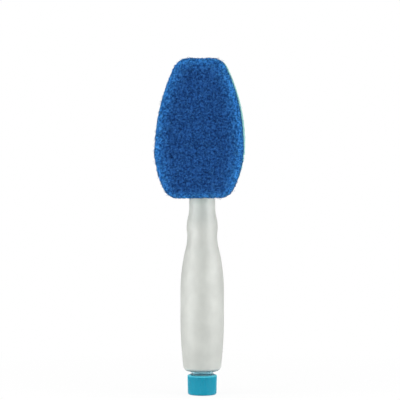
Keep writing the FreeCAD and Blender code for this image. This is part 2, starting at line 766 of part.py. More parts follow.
def crown_profile(sketch):
    """What the crown takes off the front of a flat pad: a bow across it and three straight edges."""
    left, right = point("-pad_half", "-pad_side_front"), point("pad_half", "-pad_side_front")
    low_left, low_right = point("-pad_half", "-crown_cut_front"), point("pad_half", "-crown_cut_front")
    radius = number("pad_crown_r")
    sweep = math.asin(number("pad_half") / radius)
    centre = point("", "-pad_front") + FreeCAD.Vector(0, radius, 0)
    bow = add_arc(sketch, centre, radius, -QUARTER_TURN - sweep, -QUARTER_TURN + sweep)
    run = [bow, add_line(sketch, right, low_right), add_line(sketch, low_right, low_left),
           add_line(sketch, low_left, left)]
    for edge, after in zip(run, run[1:] + run[:1]):
        relate(sketch, "Coincident", edge, END, after, START)
    hold_point(sketch, (bow, START), "-pad_half", "-pad_side_front")
    hold_point(sketch, (bow, END), "pad_half", "-pad_side_front")
    hold_point(sketch, (run[2], START), "pad_half", "-crown_cut_front")
    hold_point(sketch, (run[2], END), "-pad_half", "-crown_cut_front")
    hold(sketch, "Radius", (bow,), "pad_crown_r")


def build_scrub_pad():
    """Thick fibre pad with a crowned face and a rolled front edge."""
    body = build_layer("scrub_pad", "pad", "sponge_front", "pad_thick")
    bow = add_sketch(body, "bow", "XY_Plane")
    crown_profile(bow)
    crown = pocket(body, bow, "head_length", reverse=True)
    soften(body, crown, "pad_edge_round", round_a_face(crown, "pad_crown_r"))
    return body


def check_and_write(nodes):
    """Stop on any failed object or shape, then write one file per node."""
    doc.recompute()
    for item in doc.Objects:
        if {"Invalid", "Error"} & set(item.State):
            raise RuntimeError(f"{item.Label} failed: {item.State}")
    os.makedirs("parts", exist_ok=True)
    for node in nodes:
        shape = node.Shape
        if shape.isNull() or not shape.isValid() or len(shape.Solids) != 1:
            raise RuntimeError(f"{node.Label} has no single sound solid")
        shape.exportStep(f"parts/{node.Label}.step")
        print(f"{node.Label}: {shape.Volume:.1f} mm3, {len(shape.Faces)} faces")


fill_sheet()
check_and_write([
    build_screw_cap(),
    build_cap_liner(),
    build_handle_bottle(),
    build_socket_seal(),
    build_head_carrier(),
    build_outlet_valve(),
    build_ring("valve_retainer", "retainer_front", "valve_r", "retainer_bore_r", "retainer_thick"),
    build_ring("port_gasket", "gasket_front", "gasket_outer_r", "gasket_inner_r", "gasket_thick"),
    build_head_base(),
    build_layer("sponge", "sponge", "base_front", "sponge_thick"),
    build_scrub_pad(),
])
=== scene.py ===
"""Looks of a fillable dish wand, built around its packed construction model.

Lengths are in metres, in the model's own frame: +Z runs up the handle, the scrubbing face
looks towards -Y, and the origin is the centre of the cap's flat end.
"""

import functools
import json
import logging
import math
import random
from collections.abc import Callable, Sequence
from dataclasses import dataclass, field
from enum import Enum
from typing import Any

import bpy
from mathutils import Matrix, Vector, noise
from mathutils.bvhtree import BVHTree
from mathutils.kdtree import KDTree


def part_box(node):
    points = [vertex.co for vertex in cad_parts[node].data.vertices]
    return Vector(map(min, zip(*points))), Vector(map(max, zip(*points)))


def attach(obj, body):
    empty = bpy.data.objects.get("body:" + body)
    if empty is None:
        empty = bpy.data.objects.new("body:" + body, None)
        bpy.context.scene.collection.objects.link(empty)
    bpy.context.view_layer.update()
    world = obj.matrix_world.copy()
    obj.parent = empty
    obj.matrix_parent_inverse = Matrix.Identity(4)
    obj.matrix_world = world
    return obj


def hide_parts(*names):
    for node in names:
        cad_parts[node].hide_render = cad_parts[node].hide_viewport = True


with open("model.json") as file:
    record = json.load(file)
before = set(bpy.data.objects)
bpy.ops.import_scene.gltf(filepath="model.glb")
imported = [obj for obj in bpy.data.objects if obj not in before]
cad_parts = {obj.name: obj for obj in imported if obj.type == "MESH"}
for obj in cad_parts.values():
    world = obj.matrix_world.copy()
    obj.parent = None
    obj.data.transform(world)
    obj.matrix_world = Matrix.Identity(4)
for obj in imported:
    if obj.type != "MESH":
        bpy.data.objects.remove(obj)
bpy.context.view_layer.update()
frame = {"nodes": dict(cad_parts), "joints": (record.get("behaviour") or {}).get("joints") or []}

log = logging.getLogger("dish_wand")

MM = 0.001
PHOTO_WIDTH_PX = 400
SENSOR_WIDTH_MM = 36.0
NOISE_MIDDLE = 0.5
SLIT_OUTLINE_SHARES = ((-0.5, 0.0), (-0.25, -0.4), (0.0, -0.5), (0.25, -0.4),
                       (0.5, 0.0), (0.25, 0.4), (0.0, 0.5), (-0.25, 0.4))

Colour = tuple[float, float, float]
Stretch = tuple[float, float, float]


class Body(Enum):
    """Bodies of the wand that a piece can ride on."""

    CAP = "cap"
    HANDLE = "handle"
    HEAD = "head"


class Side(Enum):
    """Left and right of the wand's middle plane."""

    LEFT = -1
    RIGHT = 1


class Flank(Enum):
    """Which way a screw thread stands out of its wall."""

    OUTWARD = 1
    INWARD = -1


def srgb(red: int, green: int, blue: int) -> Colour:
    """Turn a display colour into the linear colour that a shader takes.

    Args:
        red: Red from 0 to 255.
        green: Green from 0 to 255.
        blue: Blue from 0 to 255.

    Returns:
        The same colour in linear light.
    """
    def linear(value: int) -> float:
        """Undo the sRGB curve of one channel, which is straight near black and a power above."""
        share = value / 255
        return share / 12.92 if share <= 0.04045 else ((share + 0.055) / 1.055) ** 2.4

    return linear(red), linear(green), linear(blue)


class Field:
    """A node socket that adds Math nodes when it is combined with numbers or sockets."""

    def __init__(self, graph: "Graph", socket: bpy.types.NodeSocket) -> None:
        """Wrap one output socket of a node graph."""
        self.graph = graph
        self.socket = socket

    def _math(self, operation: str, left: Any, right: Any) -> "Field":
        """Add one Math node over two values."""
        return self.graph.node("Math", {"operation": operation}, {0: left, 1: right})

    def __add__(self, other: "Field | float") -> "Field":
        """Sum of both."""
        return self._math("ADD", self, other)

    def __radd__(self, other: float) -> "Field":
        """Sum of both, with the number first."""
        return self._math("ADD", other, self)

    def __sub__(self, other: "Field | float") -> "Field":
        """This less the other."""
        return self._math("SUBTRACT", self, other)

    def __rsub__(self, other: float) -> "Field":
        """A number less this."""
        return self._math("SUBTRACT", other, self)

    def __mul__(self, other: "Field | float") -> "Field":
        """Product of both."""
        return self._math("MULTIPLY", self, other)

    def __rmul__(self, other: float) -> "Field":
        """Product of both, with the number first."""
        return self._math("MULTIPLY", other, self)

    def __abs__(self) -> "Field":
        """Size without the sign."""
        return self._math("ABSOLUTE", self, 0.0)

    def either(self, other: "Field | float") -> "Field":
        """The larger of both."""
        return self._math("MAXIMUM", self, other)


class Graph:
    """Node tree that hands out its sockets as fields."""

    def __init__(self, tree: bpy.types.NodeTree) -> None:
        """Wrap a node tree."""
        self.tree = tree

    def node(self, kind: str, settings: dict[str, Any] | None = None,
             sockets: dict[str | int, Any] | None = None, output: str | int = 0) -> Field:
        """Add one node, with its settings first and its sockets after.

        Args:
            kind: Node type without its ShaderNode prefix.
            settings: Attributes of the node, and stops for a colour ramp.
            sockets: Values or fields of its inputs, by name or index.
            output: Name or index of the output that is wanted.

        Returns:
            The wanted output.
        """
        made = self.tree.nodes.new(f"ShaderNode{kind}")
        for name, value in (settings or {}).items():
            if name == "stops":
                self._set_stops(made.color_ramp, value)
            else:
                setattr(made, name, value)
        for name, value in (sockets or {}).items():
            self.feed(made.inputs[name], value)
        return Field(self, made.outputs[output])

    @staticmethod
    def _set_stops(ramp: bpy.types.ColorRamp, stops: Sequence[tuple[float, Colour]]) -> None:
        """Put colour stops on a ramp that starts with two.

        Args:
            ramp: Ramp to change.
            stops: Pairs of a place and its colour, in order.
        """
        for place, _ in stops[2:]:
            ramp.elements.new(place)
        for element, (place, colour) in zip(ramp.elements, stops):
            element.position = place
            element.color = (*colour, 1.0)

    def feed(self, socket: bpy.types.NodeSocket, value: Any) -> None:
        """Link a field to an input, or set a number or colour on it.

        Args:
            socket: Input to feed.
            value: Field, number, vector or colour.
        """
        if isinstance(value, Field):
            self.tree.links.new(value.socket, socket)
        elif isinstance(value, tuple) and socket.type == "RGBA":
            socket.default_value = (*value, 1.0)
        else:
            socket.default_value = value

    def place(self) -> Field:
        """Coordinates on the piece, in metres."""
        return self.node("TexCoord", output="Object")

    def clouds(self, size: float, detail: float = 3.0,
               stretch: Stretch = (1.0, 1.0, 1.0)) -> Field:
        """Soft noise from 0 to 1.

        Args:
            size: Length of its largest features, in metres.
            detail: Number of finer layers.
            stretch: How much finer it runs along each axis.

        Returns:
            The noise value.
        """
        spot = self.node("VectorMath", {"operation": "MULTIPLY"}, {0: self.place(), 1: stretch})
        return self.node("TexNoise", None, {"Vector": spot, "Scale": 1 / size, "Detail": detail})

    def ramp(self, value: Field, *stops: tuple[float, Colour]) -> Field:
        """Colours along a value.

        Args:
            value: Value from 0 to 1.
            *stops: Pairs of a place and its colour, in order.

        Returns:
            The colour.
        """
        return self.node("ValToRGB", {"stops": stops}, {"Fac": value})

    def mix(self, share: Field | float, first: Field | Colour, second: Field | Colour) -> Field:
        """Blend two colours.

        Args:
            share: Share of the second colour.
            first: Colour at a share of 0.
            second: Colour at a share of 1.

        Returns:
            The blended colour.
        """
        # The colour inputs of a Mix node are its sockets 6 and 7, and its colour output is 2.
        return self.node("Mix", {"data_type": "RGBA"}, {0: share, 6: first, 7: second}, output=2)

    def between(self, value: Field, low: float, high: float) -> Field:
        """Spread a stretch of a value over 0 to 1, and hold it there.

        Args:
            value: Value to spread.
            low: What becomes 0.
            high: What becomes 1.

        Returns:
            The spread value.
        """
        return self.node("MapRange", {"clamp": True},
                         {"Value": value, "From Min": low, "From Max": high})

    def bump(self, height: Field, depth: float) -> Field:
        """Normal of a surface roughened by a height.

        Args:
            height: Height from 0 to 1.
            depth: Depth that a height of 1 stands for, in metres.

        Returns:
            The normal.
        """
        return self.node("Bump", None, {"Height": height, "Distance": depth})

    def tinted(self, colour: Field, tint: Field) -> Field:
        """Multiply a colour by another."""
        return self.node("VectorMath", {"operation": "MULTIPLY"}, {0: colour, 1: tint})

    def along(self, direction: Field, axis: Sequence[float]) -> Field:
        """Share of a vector that lies along an axis."""
        return self.node("VectorMath", {"operation": "DOT_PRODUCT"}, {0: direction, 1: axis},
                         output="Value")

    def level(self) -> Field:
        """Height above the cap's flat end, in metres."""
        return self.along(self.place(), (0.0, 0.0, 1.0))

    def mark(self, name: str) -> Field:
        """Number that a mesh carries for each of its vertices."""
        return self.node("Attribute", {"attribute_name": name}, output="Fac")

    def rays(self, kind: str) -> Field:
        """1 for rays of a kind, such as Camera or Glossy, and 0 for others."""
        return self.node("LightPath", output=f"Is {kind} Ray")


class Shader(Graph):
    """Node graph of one material, which ends in a Principled surface."""

    def __init__(self, name: str) -> None:
        """Start a material with nothing but its surface.

        Args:
            name: Name of the material.
        """
        self.material = bpy.data.materials.new(name)
        self.material.use_nodes = True
        super().__init__(self.material.node_tree)

    def finish(self, **sockets: Any) -> bpy.types.Material:
        """Set the surface's inputs, named in lower case with underscores.

        Args:
            **sockets: Values or fields, such as base_color or roughness.

        Returns:
            The finished material.
        """
        surface = self.tree.nodes["Principled BSDF"]
        by_name = {socket.name.lower().replace(" ", "_"): socket for socket in surface.inputs}
        for name, value in sockets.items():
            self.feed(by_name[name], value)
        return self.material

    def cover(self, share: Field, under: Field) -> None:
        """Let another surface show where the finished one gives way to it.

        Args:
            share: Share of the finished surface, from 0 to 1.
            under: Surface that shows where the share is 0.
        """
        out = self.tree.nodes["Material Output"].inputs["Surface"]
        top = Field(self, out.links[0].from_socket)
        self.feed(out, self.node("MixShader", None, {0: share, 1: under, 2: top}))


@dataclass(frozen=True)
class MouldedPlastic:
    """Satin injection-moulded plastic with faint flow shades and a fine spark-eroded grain.

    A thin-walled piece can have a painted highlight on its rim and let some light through its wall.
    """

    name: str
    colour: Colour
    flow_colour: Colour
    rim_highlight_colour: Colour | None = None
    rim_highlight_levels: tuple[float, float] = (12.7 * MM, 13.3 * MM)
    roughness: float = 0.42
    roughness_spread: float = 0.12
    gloss: float = 0.26
    flow_size: float = 14 * MM
    flow_stretch: Stretch = (1.0, 1.0, 0.4)
    grain_size: float = 0.35 * MM
    grain_depth: float = 0.012 * MM
    glow: float = 0.0
    glow_depth: float = 3 * MM
    glow_spread: Colour = (0.5, 1.0, 1.0)

    @functools.cache
    def material(self) -> bpy.types.Material:
        """Make the material, once.

        Returns:
            The material.
        """
        shader = Shader(self.name)
        flow = shader.clouds(self.flow_size, detail=2.0, stretch=self.flow_stretch)
        grain = shader.clouds(self.grain_size, detail=2.0)
        colour = shader.mix(flow, self.colour, self.flow_colour)
        # Painted highlight: a lighter colour in a band at the rim's height, where light would catch
        # the rounded edge.
        if self.rim_highlight_colour:
            rim = shader.between(shader.level(), *self.rim_highlight_levels)
            colour = shader.mix(rim, colour, self.rim_highlight_colour)
        return shader.finish(
            base_color=colour,
            roughness=self.roughness + self.roughness_spread * (grain - NOISE_MIDDLE),
            normal=shader.bump(grain, self.grain_depth),
            specular_ior_level=self.gloss,
            subsurface_weight=self.glow,
            subsurface_scale=self.glow_depth,
            subsurface_radius=self.glow_spread,
        )


@dataclass(frozen=True)
class FrostedPlastic:
    """Milky translucent blow-moulded plastic with a dull, faintly wavy skin and a clearer neck."""

    name: str
    colour: Colour
    cloud_colour: Colour
    roughness: float = 0.43
    roughness_spread: float = 0.06
    gloss: float = 0.96
    cloud_size: float = 11 * MM
    cloud_stretch: Stretch = (1.0, 1.0, 0.8)
    cloud_contrast: tuple[float, float] = (0.35, 0.65)
    wave_size: float = 8 * MM
    wave_stretch: Stretch = (1.0, 1.0, 0.9)
    wave_depth: float = 0.5 * MM
    grain_size: float = 0.6 * MM
    grain_depth: float = 0.003 * MM
    transmission: float = 0.22
    ior: float = 1.6
    clear_levels: tuple[float, float] = (17.3 * MM, 19.0 * MM)
    clear_colour: Colour = (0.55, 0.82, 0.89)
    clear_roughness: float = 0.12
    clear_transmission: float = 0.9
    clear_ior: float = 1.3

    @functools.cache
    def material(self) -> bpy.types.Material:
        """Make the material, once.

        Returns:
            The material.
        """
        shader = Shader(self.name)
        haze = shader.clouds(self.cloud_size, detail=2.0, stretch=self.cloud_stretch)
        cloud = shader.between(haze, *self.cloud_contrast)
        wave = shader.clouds(self.wave_size, detail=1.0, stretch=self.wave_stretch)
        grain = shader.clouds(self.grain_size, detail=3.0)
        skin = self.wave_depth * wave + self.grain_depth * grain
        material = shader.finish(
            base_color=shader.mix(cloud, self.colour, self.cloud_colour),
            roughness=self.roughness + self.roughness_spread * (grain - NOISE_MIDDLE),
            normal=shader.bump(skin, 1.0),
            transmission_weight=self.transmission,
            specular_ior_level=self.gloss,
            ior=self.ior,
        )
        clear = shader.node("BsdfPrincipled", None, {
            "Base Color": self.clear_colour,
            "Roughness": self.clear_roughness,
            "Transmission Weight": self.clear_transmission,
            "IOR": self.clear_ior,
        })
        shader.cover(shader.between(shader.level(), *self.clear_levels), clear)
        return material


@dataclass(frozen=True)
class SoftRubber:
    """Dull seal rubber or silicone with a fine matt skin."""

    name: str
    colour: Colour
    bloom_colour: Colour
    roughness: float = 0.62
    roughness_spread: float = 0.15
    bloom_size: float = 2.5 * MM
    grain_size: float = 0.25 * MM
    grain_depth: float = 0.01 * MM

    @functools.cache
    def material(self) -> bpy.types.Material:
        """Make the material, once.

        Returns:
            The material.
        """
        shader = Shader(self.name)
        grain = shader.clouds(self.grain_size, detail=2.0)
        return shader.finish(
            base_color=shader.mix(shader.clouds(self.bloom_size), self.colour, self.bloom_colour),
            roughness=self.roughness + self.roughness_spread * (grain - NOISE_MIDDLE),
            normal=shader.bump(grain, self.grain_depth),
        )


@dataclass(frozen=True)
class OpenFoam:
    """Open-cell sponge, with painted shade down in its pores."""

    name: str
    colour: Colour
    pore_shade_colour: Colour
    pore_mark: str
    cell_size: float = 0.6 * MM
    cell_depth: float = 0.25 * MM
    pore_shade: float = 0.8
    cell_shade: float = 0.3
    cell_level: float = 0.3
    roughness: float = 0.95
    sheen: float = 0.15
    sheen_roughness: float = 0.6

    @functools.cache
    def material(self) -> bpy.types.Material:
        """Make the material, once.

        Returns:
            The material.
        """
        shader = Shader(self.name)
        pore = shader.mark(self.pore_mark)
        cells = shader.node("TexVoronoi", None,
                            {"Vector": shader.place(), "Scale": 1 / self.cell_size})
        speckle = shader.clouds(self.cell_size) - self.cell_level
        # Painted shade deep in the pores, plus random speckle across the cells.
        shade = self.pore_shade * pore + self.cell_shade * speckle
        return shader.finish(
            base_color=shader.mix(shader.between(shade, 0.0, 1.0), self.colour, self.pore_shade_colour),
            roughness=self.roughness,
            normal=shader.bump(cells, self.cell_depth),
            sheen_weight=self.sheen,
            sheen_roughness=self.sheen_roughness,
        )


@dataclass(frozen=True)
class ScrubFibre:
    """Blue non-woven fibre whose tufts vary in tone at random, with painted shade in the gaps
    between them and painted light on its rim.
    """

    name: str
    gap_shade_colour: Colour
    colour: Colour
    tuft_colour: Colour
    rim_light_mark: str = "rim"
    rim_tint: Colour = (2.4, 2.95, 2.4)
    tuft_size: float = 1.4 * MM
    fibre_size: float = 0.5 * MM
    fibre_depth: float = 0.35 * MM
    tuft_share: float = 0.6
    contrast: tuple[float, float] = (0.4, 0.6)
    roughness: float = 0.85
    gloss: float = 0.04
    sheen: float = 0.08
    sheen_roughness: float = 0.45
    sheen_tint: Colour = (0.2, 0.5, 0.9)

    @functools.cache
    def material(self) -> bpy.types.Material:
        """Make the material, once.

        Returns:
            The material.
        """
        shader = Shader(self.name)
        tufts = shader.clouds(self.tuft_size, detail=2.0)
        fibres = shader.clouds(self.fibre_size, detail=4.0)
        shade = self.tuft_share * tufts + (1 - self.tuft_share) * fibres
        # Random tone of the tufts, which also paints shade into the low gaps between them, where the
        # bump sinks.
        colour = shader.ramp(shader.between(shade, *self.contrast), (0.0, self.gap_shade_colour),
                             (0.5, self.colour), (1.0, self.tuft_colour))
        # Painted light: the rim mark multiplies the colour up towards the edge, where side light
        # would catch it.
        tint = shader.mix(shader.mark(self.rim_light_mark), (1.0, 1.0, 1.0), self.rim_tint)
        return shader.finish(
            base_color=shader.tinted(colour, tint),
            roughness=self.roughness,
            specular_ior_level=self.gloss,
            normal=shader.bump(shade, self.fibre_depth),
            sheen_weight=self.sheen,
            sheen_roughness=self.sheen_roughness,
            sheen_tint=self.sheen_tint,
        )


TURQUOISE = MouldedPlastic("turquoise_plastic", srgb(8, 146, 174), srgb(14, 153, 181))
# The cap wears a painted highlight along its top rim.
CAP_TURQUOISE = MouldedPlastic("cap_plastic", srgb(8, 151, 179), srgb(14, 158, 186),
                               rim_highlight_colour=srgb(84, 196, 218), glow=0.7)
FROSTED = FrostedPlastic("frosted_plastic", srgb(219, 222, 216), srgb(208, 211, 205))
WHITE_FOAM = SoftRubber("liner_foam", srgb(236, 236, 230), srgb(226, 226, 221), roughness=0.7)
BLACK_RUBBER = SoftRubber("seal_rubber", srgb(34, 34, 36), srgb(46, 46, 48))
SILICONE = SoftRubber("valve_silicone", srgb(222, 224, 218), srgb(212, 215, 210), roughness=0.5)
SLIT_SHADE = SoftRubber("slit_shade", srgb(70, 72, 72), srgb(82, 84, 84))
# The sponge's second colour is painted shade down in its pores.
SPONGE_FOAM = OpenFoam("sponge_foam", srgb(150, 214, 206), srgb(84, 158, 158), "pore")
# The first colour of each fibre finish is painted shade for the gaps between tufts.
FELT = ScrubFibre("scrub_felt", srgb(14, 45, 95), srgb(30, 76, 141), srgb(47, 100, 168))
# The lighter strands carry a rim tint of painted light too.
LIGHT_STRAND = ScrubFibre("light_strand", srgb(33, 82, 151), srgb(51, 109, 178), srgb(71, 134, 202),
                          rim_tint=(1.9, 1.9, 1.32))
DARK_STRAND = ScrubFibre("dark_strand", srgb(14, 49, 104), srgb(30, 76, 141), srgb(43, 96, 164))


def mesh_object(name: str, vertices: Sequence[Vector], faces: Sequence[Sequence[int]],
                smooth: bool = True) -> bpy.types.Object:
    """Make a mesh object in the scene.

    Args:
        name: Name of the object.
        vertices: Places of its vertices.
        faces: Vertex numbers of each face.
        smooth: Whether its faces are shaded smooth.

    Returns:
        The new object.
    """
    mesh = bpy.data.meshes.new(name)
    mesh.from_pydata([tuple(vertex) for vertex in vertices], [], [tuple(face) for face in faces])
    mesh.polygons.foreach_set("use_smooth", [smooth] * len(mesh.polygons))
    mesh.validate()
    made = bpy.data.objects.new(name, mesh)
    bpy.context.collection.objects.link(made)
    return made


def tube_faces(first: int, rings: int, sides: int) -> list[list[int]]:
    """Faces of a closed tube whose rings follow each other in a list of vertices.

    Args:
        first: Number of the first ring's first vertex.
        rings: Number of rings.
        sides: Number of vertices in each ring, counter-clockwise seen from the far end.

    Returns:
        Vertex numbers of the walls and of both ends.
    """
    faces = []
    for ring in range(rings - 1):
        low = first + ring * sides
        high = low + sides
        for side in range(sides):
            after = (side + 1) % sides
            faces.append([low + side, low + after, high + after, high + side])
    last = first + (rings - 1) * sides
    faces.append([first + side for side in reversed(range(sides))])
    faces.append([last + side for side in range(sides)])
    return faces


def dress(piece: bpy.types.Object, material: bpy.types.Material) -> None:
    """Give a piece one material."""
    piece.data.materials.clear()
    piece.data.materials.append(material)


def place_piece(piece: bpy.types.Object, body: Body, material: bpy.types.Material) -> None:
    """Dress a new piece and let it ride on a body.

    Args:
        piece: Piece to place.
        body: Body that it moves with.
        material: Material that it wears.
    """
    dress(piece, material)
    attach(piece, body.value)
    log.info("%s: %d faces, rides on %s", piece.name, len(piece.data.polygons), body.value)


def dress_node(node: str, material: bpy.types.Material) -> None:
    """Give a construction piece its material."""
    dress(frame["nodes"][node], material)
    log.info("%s: dressed in %s", node, material.name)


def remeshed_copy(node: str, name: str, voxel: float) -> bpy.types.Object:
    """Copy a construction piece as an even mesh that can be shaped.

    Args:
        node: Construction piece to copy.
        name: Name of the copy.
        voxel: Size of its faces.

    Returns:
        The copy.
    """
    rough = bpy.data.objects.new(f"{name}_rough", frame["nodes"][node].data.copy())
    bpy.context.collection.objects.link(rough)
    remesh = rough.modifiers.new("even", "REMESH")
    remesh.mode = "VOXEL"
    remesh.voxel_size = voxel
    remesh.use_smooth_shade = True
    seen = rough.evaluated_get(bpy.context.evaluated_depsgraph_get())
    mesh = bpy.data.meshes.new_from_object(seen)
    old = rough.data
    bpy.data.objects.remove(rough)
    bpy.data.meshes.remove(old)
    mesh.name = name
    made = bpy.data.objects.new(name, mesh)
    bpy.context.collection.objects.link(made)
    return made


def smooth_step(value: float, low: float, high: float) -> float:
    """Rise smoothly from 0 to 1 over a stretch of a value.

    Args:
        value: Value to judge.
        low: Where the rise starts.
        high: Where the rise ends.

    Returns:
        The height of the rise at the value.
    """
    share = min(max((value - low) / (high - low), 0.0), 1.0)
    return share * share * (3 - 2 * share)


def reshape(piece: bpy.types.Object, move: Callable[[Vector, Vector], Vector]) -> None:
    """Move each vertex of a piece.

    Args:
        piece: Piece to shape.
        move: Way to move a vertex, from its place and its normal.
    """
    moves = [move(vertex.co, vertex.normal) for vertex in piece.data.vertices]
    for vertex, way in zip(piece.data.vertices, moves):
        vertex.co += way
    piece.data.update()


def mark(piece: bpy.types.Object, name: str, values: Sequence[float]) -> None:
    """Give each vertex of a piece a number that its material can read.

    Args:
        piece: Piece to mark.
        name: Name of the number.
        values: One number for each vertex.
    """
    marks = piece.data.attributes.new(name, "FLOAT", "POINT")
    marks.data.foreach_set("value", values)


def surface_tree(piece: bpy.types.Object) -> BVHTree:
    """Search tree of a piece's surface."""
    return BVHTree.FromPolygons([vertex.co for vertex in piece.data.vertices],
                                [polygon.vertices for polygon in piece.data.polygons])


@dataclass
class ThreadRidge:
    """A right-handed screw thread as a helical ridge with tapered ends."""

    name: str
    wall_radius: float
    flank: Flank
    height: float = 0.85 * MM
    low: float = 4.9 * MM
    turns: float = 1.8
    pitch: float = 3.0 * MM
    foot_width: float = 1.5 * MM
    crest_width: float = 0.7 * MM
    start_angle: float = 0.0
    steps_per_turn: int = 72
    taper_turns: float = 0.2
    sink: float = 0.05 * MM

    def build(self) -> bpy.types.Object:
        """Sweep the ridge's section along its helix.

        Returns:
            The ridge.
        """
        steps = round(self.turns * self.steps_per_turn)
        vertices: list[Vector] = []
        for step in range(steps + 1):
            turn = step / self.steps_per_turn
            rise = min(1.0, turn / self.taper_turns, (self.turns - turn) / self.taper_turns)
            section = self._section(turn, max(rise, 0.0))
            vertices += section
        return mesh_object(self.name, vertices, tube_faces(0, steps + 1, len(section)), smooth=False)

    def _section(self, turn: float, rise: float) -> list[Vector]:
        """Corners of the ridge at one place of its helix.

        Args:
            turn: Turns from the start.
            rise: Share of the ridge's full height.

        Returns:
            The four corners.
        """
        angle = self.start_angle + math.tau * turn
        level = self.low + self.pitch * turn
        foot = self.wall_radius - self.flank.value * self.sink
        crest = self.wall_radius + self.flank.value * self.height * rise
        corners = ((foot, self.foot_width / 2), (crest, self.crest_width / 2),
                   (crest, -self.crest_width / 2), (foot, -self.foot_width / 2))
        return [Vector((radius * math.cos(angle), radius * math.sin(angle),
                        level + self.flank.value * up)) for radius, up in corners]


@dataclass
class CapAssembly:
    """Screw cap with its inner thread and the sealing disc."""

    wall: float = 1.45 * MM

    def build(self) -> None:
        """Add the cap's inner thread."""
        _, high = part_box("screw_cap")
        ridge = ThreadRidge("cap_thread", high.x - self.wall, Flank.INWARD, start_angle=math.pi)
        place_piece(ridge.build(), Body.CAP, TURQUOISE.material())

    def dress(self) -> None:
        """Dress the cap and its disc."""
        dress_node("screw_cap", CAP_TURQUOISE.material())
        dress_node("cap_liner", WHITE_FOAM.material())


@dataclass
class HandleAssembly:
    """Translucent bottle with its outer thread and mould seams."""

    neck_radius: float = 7.9 * MM
    seam_low: float = 20.5 * MM
    seam_high: float = 141.2 * MM
    seam_width: float = 0.34 * MM
    seam_height: float = 0.08 * MM
    seam_steps: int = 150

    def build(self) -> None:
        """Add the thread and both mould seams."""
        ridge = ThreadRidge("neck_thread", self.neck_radius, Flank.OUTWARD)
        place_piece(ridge.build(), Body.HANDLE, FROSTED.material())
        for side in Side:
            seam = self._seam(side)
            place_piece(seam, Body.HANDLE, FROSTED.material())

    def dress(self) -> None:
        """Dress the bottle and the ring seal."""
        dress_node("handle_bottle", FROSTED.material())
        dress_node("socket_seal", BLACK_RUBBER.material())

    def _seam(self, side: Side) -> bpy.types.Object:
        """Thin ridge up one side of the bottle, where the mould halves met.

        Args:
            side: Side of the bottle.

        Returns:
            The ridge.
        """
        tree = surface_tree(frame["nodes"]["handle_bottle"])
        vertices: list[Vector] = []
        for step in range(self.seam_steps + 1):
            level = self.seam_low + (self.seam_high - self.seam_low) * step / self.seam_steps
            outside = Vector((side.value, 0.0, level))
            wall, _, _, _ = tree.ray_cast(outside, Vector((-side.value, 0.0, 0.0)))
            ridge = Vector((side.value * self.seam_height, 0.0, 0.0))
            across = Vector((0.0, side.value * self.seam_width / 2, 0.0))
            section = [wall - ridge - across, wall + ridge, wall - ridge + across]
            vertices += section
        faces = tube_faces(0, self.seam_steps + 1, len(section))
        return mesh_object(f"handle_seam_{side.name.lower()}", vertices, faces)


def head_axes() -> tuple[Vector, Vector]:
    """Up the leaning head, and out of its scrubbing face.

    Returns:
        Both directions.
    """
    slide = next(joint for joint in frame["joints"] if joint["name"] == "head_slide")
    up = Vector(slide["axis"]).normalized()
    return up, Vector((1.0, 0.0, 0.0)).cross(up)


@dataclass
class CarrierAssembly:
    """Head carrier with its soap outlet."""

    slit_length: float = 4.2 * MM
    slit_width: float = 0.16 * MM
    slit_rise: float = 0.03 * MM
    slit_turns_deg: tuple[float, float] = (45.0, 135.0)

    def build(self) -> None:
        """Add the crossed slits of the outlet valve as dark lenses of painted shade."""
        up, face = head_axes()
        low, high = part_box("outlet_valve")
        middle = (low + high) / 2
        skin, _, _, _ = surface_tree(frame["nodes"]["outlet_valve"]).ray_cast(middle + face, -face)
        vertices: list[Vector] = []
        faces: list[list[int]] = []
        for turn in self.slit_turns_deg:
            along = Matrix.Rotation(math.radians(turn), 3, face) @ up
            self._add_slit(skin, along, face, vertices, faces)
        place_piece(mesh_object("valve_slits", vertices, faces, smooth=False), Body.HANDLE,
                    SLIT_SHADE.material())

    def _add_slit(self, skin: Vector, along: Vector, face: Vector,
                  vertices: list[Vector], faces: list[list[int]]) -> None:
        """Add one slit's painted shade, a slim dark lens with pointed ends, to a mesh in the making.

        Args:
            skin: Middle of the valve's skin.
            along: Direction of the slit.
            face: Direction out of the skin.
            vertices: Vertices so far.
            faces: Faces so far.
        """
        faces += tube_faces(len(vertices), 2, len(SLIT_OUTLINE_SHARES))
        across = face.cross(along)
        for level in (-self.slit_rise, self.slit_rise):
            for length_share, width_share in SLIT_OUTLINE_SHARES:
                spot = skin + along * (self.slit_length * length_share)
                spot += across * (self.slit_width * width_share)
                vertices.append(spot + face * level)

    def dress(self) -> None:
        """Dress the carrier, the valve and the rings round it."""
        dress_node("head_carrier", TURQUOISE.material())
        dress_node("valve_retainer", TURQUOISE.material())
        dress_node("outlet_valve", SILICONE.material())
        dress_node("port_gasket", BLACK_RUBBER.material())


